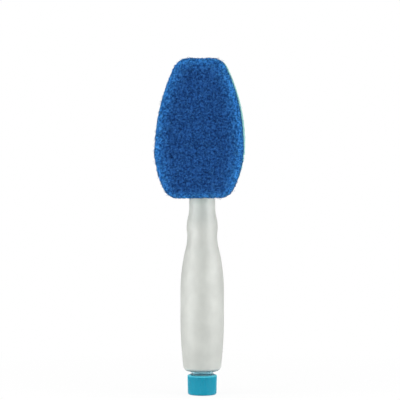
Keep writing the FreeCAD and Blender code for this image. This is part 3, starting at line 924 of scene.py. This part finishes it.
@dataclass
class FibreCoat:
    """Curled fibres that lie over a felt and stand off its edges."""

    name: str
    count: int
    finish: ScrubFibre
    length: float = 4.8 * MM
    length_spread_share: float = 0.4
    radius: float = 0.07 * MM
    lift: float = 0.35 * MM
    sink: float = 0.15 * MM
    curl: float = 0.55
    waver: float = 0.25
    least_lift_share: float = 0.3
    stray_share: float = 0.06
    stray_lift: float = 3.0
    steps: int = 7
    sides: int = 3

    def build(self, ground: bpy.types.Object, keep: Callable[[Vector], bool],
              seed: int) -> bpy.types.Object:
        """Lay the fibres on a felt.

        Args:
            ground: Felt that they lie on.
            keep: Whether a fibre may start at a face with this normal.
            seed: Seed of the random draws.

        Returns:
            All the fibres as one piece.
        """
        draw = random.Random(seed)
        tree = surface_tree(ground)
        starts = [polygon for polygon in ground.data.polygons if keep(polygon.normal)]
        weights = [polygon.area for polygon in starts]
        vertices: list[Vector] = []
        faces: list[list[int]] = []
        for polygon in draw.choices(starts, weights, k=self.count):
            line = self._line(tree, polygon.center, polygon.normal, draw)
            self._add_tube(line, vertices, faces)
        return mesh_object(self.name, vertices, faces)

    def _line(self, tree: BVHTree, start: Vector, normal: Vector,
              draw: random.Random) -> list[Vector]:
        """Points of one fibre, which comes out of the felt and goes back in.

        Args:
            tree: Surface of the felt.
            start: Where the fibre starts.
            normal: The felt's normal there.
            draw: Source of random draws.

        Returns:
            The points, in order.
        """
        spread = self.length_spread_share
        length = self.length * draw.uniform(1 - spread, 1 + spread)
        lift = self.lift * draw.uniform(self.least_lift_share, 1.0) ** 2
        if draw.random() < self.stray_share:
            lift *= self.stray_lift
        heading = draw.uniform(0, math.tau)
        bend = draw.gauss(0, self.curl)
        spot, up = start, normal
        points = []
        for step in range(self.steps):
            arch = math.sin(math.pi * step / (self.steps - 1))
            points.append(spot + up * (lift * arch - self.sink * (1 - arch)))
            across = up.orthogonal().normalized()
            along = Matrix.Rotation(heading, 3, up) @ across
            heading += bend + draw.gauss(0, self.waver)
            spot, up, _, _ = tree.find_nearest(spot + along * (length / self.steps))
        return points

    def _add_tube(self, line: Sequence[Vector], vertices: list[Vector],
                  faces: list[list[int]]) -> None:
        """Add one fibre's tube to a mesh in the making.

        Args:
            line: Points of the fibre.
            vertices: Vertices so far.
            faces: Faces so far.
        """
        faces += tube_faces(len(vertices), len(line), self.sides)
        for before, spot, after in zip((line[0], *line), line, (*line[1:], line[-1])):
            along = (after - before).normalized()
            across = along.orthogonal().normalized()
            for side in range(self.sides):
                turn = Matrix.Rotation(math.tau * side / self.sides, 3, along)
                vertices.append(spot + turn @ across * self.radius)


@dataclass
class HeadAssembly:
    """Refill head: base plate, porous sponge and fibrous scrub pad."""

    felt_voxel: float = 0.75 * MM
    lump_size: float = 9.0 * MM
    lump_height: float = 0.3 * MM
    tuft_size: float = 1.6 * MM
    tuft_height: float = 0.4 * MM
    tuft_level: float = 0.5
    felt_inset: float = 0.7 * MM
    felt_swell: float = 1.5 * MM
    swell_from: float = 0.45
    # rim_width, rim_narrowing and narrow_from shape the band of painted light along the felt's edge,
    # narrower towards the handle's end.
    rim_width: float = 12.5 * MM
    rim_narrowing: float = 0.6
    narrow_from: float = 0.85
    glued_facing: float = -0.5
    rim_facing: float = 0.7
    # side_facing, side_shade and side_depth find the felt's sides and thin out the painted rim light
    # deeper down them.
    side_facing: float = 0.3
    side_shade: float = 0.75
    side_depth: tuple[float, float] = (3.0 * MM, 6.0 * MM)
    sponge_voxel: float = 0.55 * MM
    sponge_bulge: float = -0.2 * MM
    sponge_tuck: float = 1.3 * MM
    pore_sizes: tuple[float, float] = (1.5 * MM, 3.1 * MM)
    pore_depth: float = 0.7 * MM
    pore_share: float = 0.5
    first_seed: int = 7
    coats: Sequence[FibreCoat] = field(default_factory=lambda: (
        FibreCoat("fibres_dark", 3000, DARK_STRAND),
        FibreCoat("fibres_light", 3600, LIGHT_STRAND),
    ))
    # The edge fuzz takes the lighter strand colour, which helps paint light on the rim.
    fuzz: FibreCoat = field(default_factory=lambda: FibreCoat(
        "fibres_rim", 1800, LIGHT_STRAND, length=3.5 * MM, lift=0.7 * MM, radius=0.06 * MM))

    def build(self) -> None:
        """Make the soft pieces that stand for the plain solids."""
        felt = self._felt()
        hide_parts("scrub_pad")
        place_piece(felt, Body.HEAD, FELT.material())
        # The rim mark carries painted light onto the felt and onto its fibres.
        rim = self._rim(felt, self._drop("scrub_pad"))
        mark(felt, FELT.rim_light_mark, [rim(vertex.co) for vertex in felt.data.vertices])
        jobs = [(coat, self._is_open) for coat in self.coats] + [(self.fuzz, self._is_rim)]
        for seed, (coat, keep) in enumerate(jobs, start=self.first_seed):
            fibres = coat.build(felt, keep, seed)
            mark(fibres, coat.finish.rim_light_mark, [rim(vertex.co) for vertex in fibres.data.vertices])
            place_piece(fibres, Body.HEAD, coat.finish.material())
        sponge = self._sponge()
        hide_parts("sponge")
        place_piece(sponge, Body.HEAD, SPONGE_FOAM.material())

    def dress(self) -> None:
        """Dress the base plate."""
        dress_node("head_base", TURQUOISE.material())

    def _is_open(self, normal: Vector) -> bool:
        """Whether a felt face is not glued to the sponge."""
        return normal.dot(head_axes()[1]) > self.glued_facing

    def _is_rim(self, normal: Vector) -> bool:
        """Whether a felt face looks sideways."""
        return abs(normal.dot(head_axes()[1])) < self.rim_facing

    @staticmethod
    def _in_plane(way: Vector) -> Vector:
        """A vector without its share out of the scrubbing face."""
        face = head_axes()[1]
        return way - face * way.dot(face)

    def _rim(self, felt: bpy.types.Object,
             drop: Callable[[Vector], float]) -> Callable[[Vector], float]:
        """Way to tell how much painted rim light a place gets, by how near it is to the felt's edge.

        Args:
            felt: Felt to measure on.
            drop: How far down the felt a place is.

        Returns:
            A function from a place to 1 at the edge and 0 well inside it.
        """
        face = head_axes()[1]
        front = max(vertex.co.dot(face) for vertex in felt.data.vertices)
        sides = [vertex.co for vertex in felt.data.vertices
                 if abs(vertex.normal.dot(face)) < self.side_facing]
        tree = KDTree(len(sides))
        for index, spot in enumerate(sides):
            tree.insert(self._in_plane(spot), index)
        tree.balance()

        def rim(spot: Vector) -> float:
            """Share of painted rim light at a place, by its nearness to the edge.

            Args:
                spot: Place on the felt or on a fibre.

            Returns:
                1 at the edge and 0 well inside it.
            """
            _, _, distance = tree.find(self._in_plane(spot))
            narrowing = self.rim_narrowing * smooth_step(drop(spot), self.narrow_from, 1.0)
            share = max(0.0, 1 - distance / (self.rim_width * (1 - narrowing)))
            depth = front - spot.dot(face)
            return share * share * (1 - self.side_shade * smooth_step(depth, *self.side_depth))

        return rim

    @staticmethod
    def _drop(node: str) -> Callable[[Vector], float]:
        """Way to tell how far down a head piece a place is.

        Args:
            node: Construction piece to measure on.

        Returns:
            A function from a place to 0 at the tip and 1 at the handle's end.
        """
        up = head_axes()[0]
        levels = [vertex.co.dot(up) for vertex in frame["nodes"][node].data.vertices]
        low, high = min(levels), max(levels)
        return lambda spot: (high - spot.dot(up)) / (high - low)

    def _felt(self) -> bpy.types.Object:
        """Lumpy, tufted body of the scrub pad.

        Returns:
            The felt.
        """
        felt = remeshed_copy("scrub_pad", "scrub_pad_felt", self.felt_voxel)
        drop = self._drop("scrub_pad")

        def move(spot: Vector, normal: Vector) -> Vector:
            """Lumps, tufts and a fuller edge towards the handle.

            Args:
                spot: Place of a vertex.
                normal: Its normal.

            Returns:
                Its move.
            """
            lumps = noise.noise(spot / self.lump_size) * self.lump_height
            tufts = (noise.noise(spot / self.tuft_size) - self.tuft_level) * self.tuft_height
            swell = self.felt_swell * smooth_step(drop(spot), self.swell_from, 1.0)
            spread = swell - self.felt_inset * abs(normal.x)
            return normal * (lumps + tufts) + self._in_plane(normal) * spread

        reshape(felt, move)
        return felt

    def _sponge(self) -> bpy.types.Object:
        """Sponge slab with open pores in its skin.

        Returns:
            The sponge.
        """
        sponge = remeshed_copy("sponge", "sponge_slab", self.sponge_voxel)
        drop = self._drop("sponge")

        def pore(spot: Vector) -> float:
            """How deep in a small or large pore a place is, from 0 to 1."""
            nearest = min(noise.voronoi(spot / size)[0][0] for size in self.pore_sizes)
            return smooth_step(1 - nearest / self.pore_share, 0.0, 1.0)

        mark(sponge, SPONGE_FOAM.pore_mark, [pore(vertex.co) for vertex in sponge.data.vertices])

        def move(spot: Vector, normal: Vector) -> Vector:
            """Pores, and an edge tucked in towards the handle.

            Args:
                spot: Place of a vertex.
                normal: Its normal.

            Returns:
                Its move.
            """
            tuck = self.sponge_tuck * smooth_step(drop(spot), self.swell_from, 1.0)
            spread = self.sponge_bulge - tuck
            return self._in_plane(normal) * spread - normal * (self.pore_depth * pore(spot))

        reshape(sponge, move)
        return sponge


@dataclass
class SoftBox:
    """A rectangular studio lamp that looks at the wand."""

    name: str
    azimuth_deg: float
    elevation_deg: float
    distance: float
    width: float
    height: float
    power: float

    def build(self, target: Vector) -> None:
        """Put the lamp in the scene.

        Args:
            target: What the lamp looks at.
        """
        light = bpy.data.lights.new(self.name, "AREA")
        light.shape = "RECTANGLE"
        light.size, light.size_y = self.width, self.height
        light.energy = self.power
        lamp = bpy.data.objects.new(self.name, light)
        turn = math.radians(self.azimuth_deg)
        rise = math.radians(self.elevation_deg)
        level = math.cos(rise)
        away = Vector((math.sin(turn) * level, -math.cos(turn) * level, math.sin(rise)))
        lamp.location = target + away * self.distance
        lamp.rotation_mode = "QUATERNION"
        lamp.rotation_quaternion = away.to_track_quat("Z", "Y")
        bpy.context.collection.objects.link(lamp)


@dataclass
class Studio:
    """White floor and world, dim flags beside the backdrop, soft boxes and the camera."""

    floor_size: float = 8.0
    floor_colour: Colour = (0.9, 0.9, 0.9)
    shadow_share: float = 0.1
    shadow_reach: float = 0.35
    ambient: float = 0.33
    dim_sector_deg: tuple[float, float] = (18.0, 22.0)
    flag_near_deg: tuple[float, float] = (15.0, 25.0)
    flag_far_deg: tuple[float, float] = (50.0, 60.0)
    lamp_target: Vector = field(default_factory=lambda: Vector((0.0, 0.0, 0.12)))
    boxes: Sequence[SoftBox] = (
        SoftBox("left_box", azimuth_deg=-54.4, elevation_deg=0.6, distance=0.32,
                width=0.3, height=0.39, power=0.78),
        SoftBox("right_box", azimuth_deg=69.4, elevation_deg=0.6, distance=0.32,
                width=0.3, height=0.39, power=0.78),
        SoftBox("top_box", azimuth_deg=0.0, elevation_deg=75.0, distance=1.0,
                width=0.9, height=0.6, power=4.5),
        SoftBox("back_box", azimuth_deg=187.5, elevation_deg=30.0, distance=1.0,
                width=0.9, height=0.9, power=3.0),
    )
    camera_distance: float = 1.212
    camera_height: float = 0.1386
    camera_azimuth_deg: float = 7.5
    focal_px: float = 1700.0
    axis_offset_px: float = 2.2

    def build(self) -> None:
        """Set up floor, world, lamps, camera and colour handling."""
        self._floor()
        self._world()
        for box in self.boxes:
            box.build(self.lamp_target)
        self._camera()
        bpy.context.scene.view_settings.view_transform = "Standard"

    def _floor(self) -> None:
        """Pale floor that looks white to the camera and keeps the wand's shadow."""
        half = self.floor_size / 2
        signs = ((-1, -1), (1, -1), (1, 1), (-1, 1))
        corners = [Vector((half * x, half * y, 0.0)) for x, y in signs]
        floor = mesh_object("floor", corners, [(0, 1, 2, 3)], smooth=False)
        shader = Shader("pale_floor")
        way = shader.node("VectorMath", {"operation": "NORMALIZE"}, {0: shader.place()})
        seen = self._seen(shader, way)
        diffuse = shader.node("BsdfDiffuse", None, {"Color": self.floor_colour})
        glow = shader.node("Emission", None, {"Color": (1.0, 1.0, 1.0), "Strength": 1.0})
        away = shader.node("VectorMath", {"operation": "LENGTH"}, {0: shader.place()},
                           output="Value")
        shadow = self.shadow_share * (1 - shader.between(away, 0.0, self.shadow_reach))
        both = shader.node("MixShader", None, {0: (1 - shadow) * seen, 1: diffuse, 2: glow})
        shader.feed(shader.tree.nodes["Material Output"].inputs["Surface"], both)
        dress(floor, shader.material)

    def _seen(self, graph: Graph, way: Field) -> Field:
        """1 for rays that see white, and less for gloss towards the dim room or the flags.

        Args:
            graph: Graph to add the nodes to.
            way: Direction that is looked in.

        Returns:
            The share of white.
        """
        turn = math.radians(self.camera_azimuth_deg)
        aside = abs(graph.along(way, (math.cos(turn), math.sin(turn), 0.0)))
        ahead = graph.along(way, (math.sin(turn), -math.cos(turn), 0.0))
        blend = math.sin(math.radians(self.dim_sector_deg[0]))
        room = self._beyond(graph, aside, self.dim_sector_deg)
        lit = room.either(1 - graph.between(ahead, 0.0, blend))
        near = self._beyond(graph, aside, self.flag_near_deg)
        far = self._beyond(graph, aside, self.flag_far_deg)
        flags = near * (1 - far) * graph.between(ahead, 0.0, -blend)
        gloss = graph.rays("Glossy") * lit * (1 - flags)
        return graph.rays("Camera").either(graph.rays("Transmission")).either(gloss)

    @staticmethod
    def _beyond(graph: Graph, aside: Field, edge_deg: tuple[float, float]) -> Field:
        """Tell which directions lie further to the side than a soft edge.

        Args:
            graph: Graph to add the nodes to.
            aside: Share of the direction that lies to the side.
            edge_deg: Angles from straight ahead where the edge starts and ends.

        Returns:
            0 on the near side of the edge and 1 beyond it.
        """
        start, end = (math.sin(math.radians(angle)) for angle in edge_deg)
        return graph.between(aside, start, end)

    def _world(self) -> None:
        """White surroundings to the eye, a plain level of light, a dim room and two dim flags."""
        world = bpy.data.worlds.new("studio")
        world.use_nodes = True
        bpy.context.scene.world = world
        graph = Graph(world.node_tree)
        seen = self._seen(graph, graph.node("TexCoord", output="Generated"))
        room, white = (
            graph.node("Background", None, {"Color": (1.0, 1.0, 1.0), "Strength": strength})
            for strength in (self.ambient, 1.0))
        both = graph.node("MixShader", None, {0: seen, 1: room, 2: white})
        graph.feed(graph.tree.nodes["World Output"].inputs["Surface"], both)

    def _camera(self) -> None:
        """Camera level with the neck, a little to the right of the scrubbing face."""
        data = bpy.data.cameras.new("camera")
        data.sensor_width = SENSOR_WIDTH_MM
        data.lens = SENSOR_WIDTH_MM * self.focal_px / PHOTO_WIDTH_PX
        camera = bpy.data.objects.new("camera", data)
        turn = math.radians(self.camera_azimuth_deg)
        right = Vector((math.cos(turn), math.sin(turn), 0.0))
        back = Vector((math.sin(turn), -math.cos(turn), 0.0))
        aside = -self.axis_offset_px * self.camera_distance / self.focal_px
        height = Vector((0.0, 0.0, self.camera_height))
        camera.location = back * self.camera_distance + right * aside + height
        camera.rotation_euler = (math.pi / 2, 0.0, turn)
        bpy.context.collection.objects.link(camera)
        bpy.context.scene.camera = camera


def main() -> None:
    """Build and dress every sub-assembly, then the studio."""
    logging.basicConfig(level=logging.INFO, format="%(name)s: %(message)s")
    for assembly in (CapAssembly(), HandleAssembly(), CarrierAssembly(), HeadAssembly()):
        assembly.build()
        assembly.dress()
    Studio().build()


if __name__ == "__main__":
    main()
